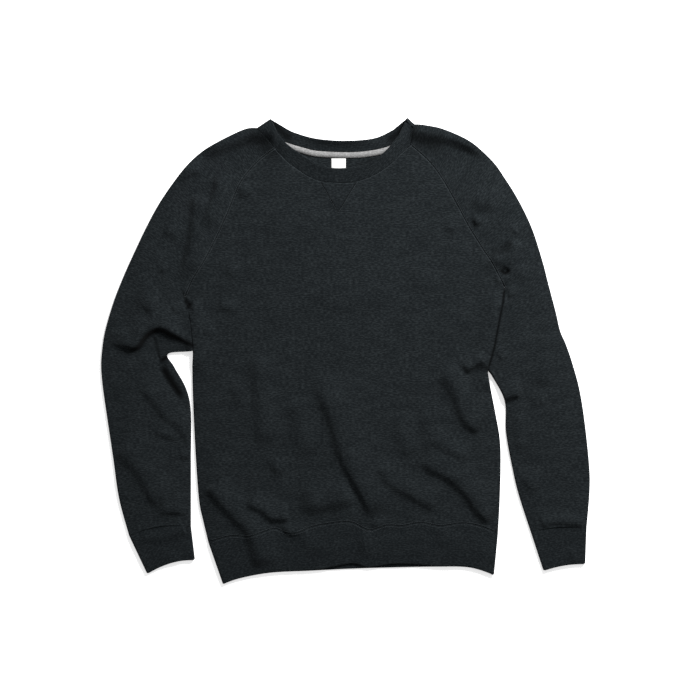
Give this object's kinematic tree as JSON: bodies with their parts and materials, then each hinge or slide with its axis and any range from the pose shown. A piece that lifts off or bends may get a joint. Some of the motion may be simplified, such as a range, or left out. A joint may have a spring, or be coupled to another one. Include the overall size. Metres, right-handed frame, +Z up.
{
  "type": "crewneck sweatshirt laid flat",
  "caption": "Dark charcoal heather crewneck sweatshirt with raglan sleeves, a neck V insert, and ribbed neckband, cuffs and hem band, laid flat with its sleeves down.",
  "frame": {"origin": "centre of the laid-out sweatshirt's outline, on the surface it lies on", "axes": "+X from the wearer's right sleeve to the left one, +Y from the hem toward the neck, +Z up off the surface"},
  "size_m": [0.7339, 0.7, 0.0153],
  "materials": {
    "fleece": "matt brushed-back fleece in charcoal heather",
    "rib": "matt fine rib knit in charcoal heather",
    "tape": "light grey heather jersey tape",
    "label": "plain white woven label, blank"
  },
  "bodies": {
    "root": {"front_panel": "fleece", "back_panel": "fleece", "right_sleeve": "fleece", "left_sleeve": "fleece", "right_cuff": "rib", "left_cuff": "rib", "hem_band": "rib", "neckband": "rib", "v_insert": "rib", "neck_tape": "tape", "label": "label"}
  },
  "joints": []
}
